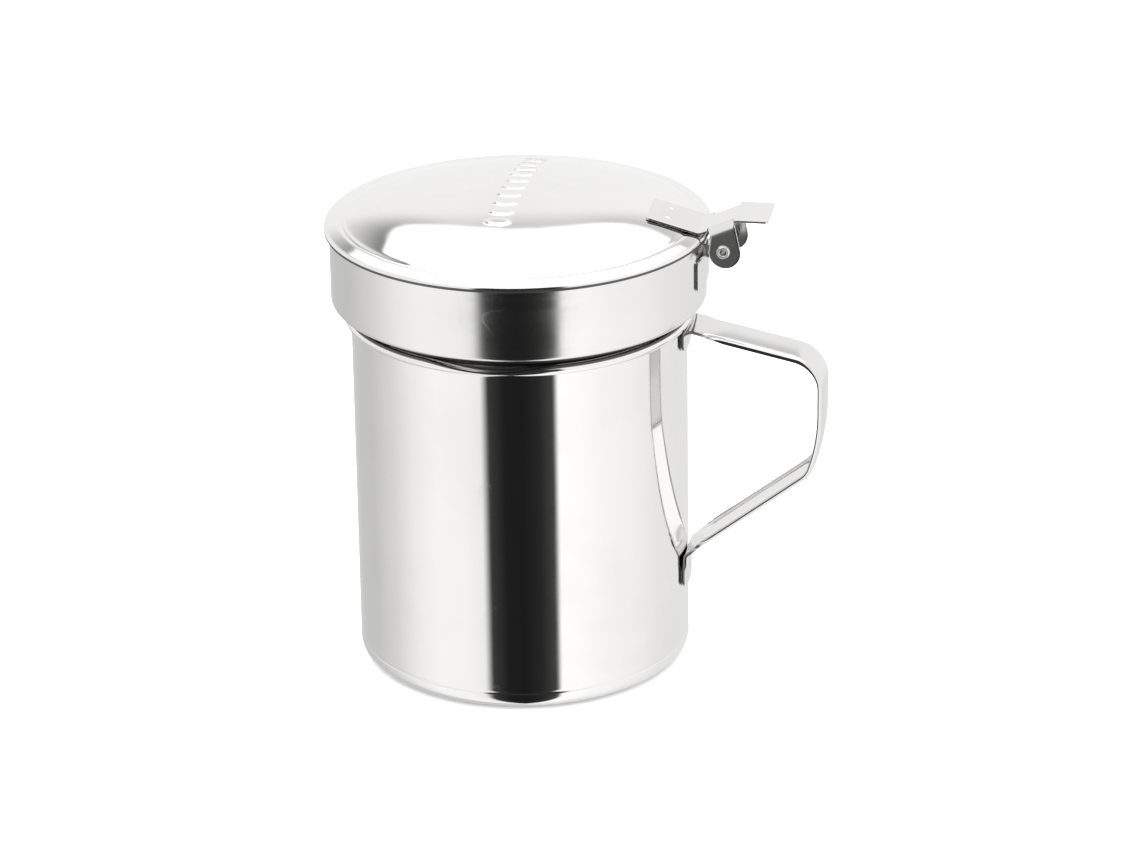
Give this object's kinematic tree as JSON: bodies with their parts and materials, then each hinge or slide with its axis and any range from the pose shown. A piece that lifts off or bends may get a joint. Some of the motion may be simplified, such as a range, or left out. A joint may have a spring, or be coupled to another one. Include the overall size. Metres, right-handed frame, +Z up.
{
  "type": "flour sifter",
  "caption": "Stainless mug-shaped flour sifter: drawn mug with pouring lip and strap handle, lift-out sieve cup and hinged domed lid with a thumb lever.",
  "frame": {"origin": "centre of the mug's flat underside, on the surface that the mug stands on", "axes": "+Z up along the mug's axis, +X towards the handle and the hinge, -Y towards the pouring lip"},
  "size_m": [0.1612, 0.1236, 0.1576],
  "materials": {
    "polished_steel": "mirror-polished stainless steel",
    "handle_steel": "polished stainless strap",
    "satin_steel": "polished stainless steel with fine circumferential brushing",
    "mesh_wire": "woven stainless wire cloth",
    "hinge_steel": "rolled stainless sheet, lightly brushed",
    "pin_steel": "bright tubular rivet",
    "lid_steel": "mirror-polished stainless steel, faintly brushed"
  },
  "bodies": {
    "mug": {"mug_shell": "polished_steel", "handle_strap": "handle_steel"},
    "sieve_insert": {"sieve_cup": "satin_steel", "sieve_mesh": "mesh_wire", "mesh_ring": "satin_steel", "hinge_bracket": "hinge_steel"},
    "lid": {"lid_dome": "lid_steel", "thumb_lever": "hinge_steel", "hinge_pin": "pin_steel"}
  },
  "joints": [
    {"name": "insert_lift", "type": "slide", "parent": "mug", "child": "sieve_insert", "axis": [0, 0, 1], "range_m": [0, 0.08]},
    {"name": "lid_hinge", "type": "hinge", "parent": "sieve_insert", "child": "lid", "pos_m": [0.0673, 0, 0.1429], "axis": [0, 1, 0], "range_deg": [0, 145]}
  ]
}
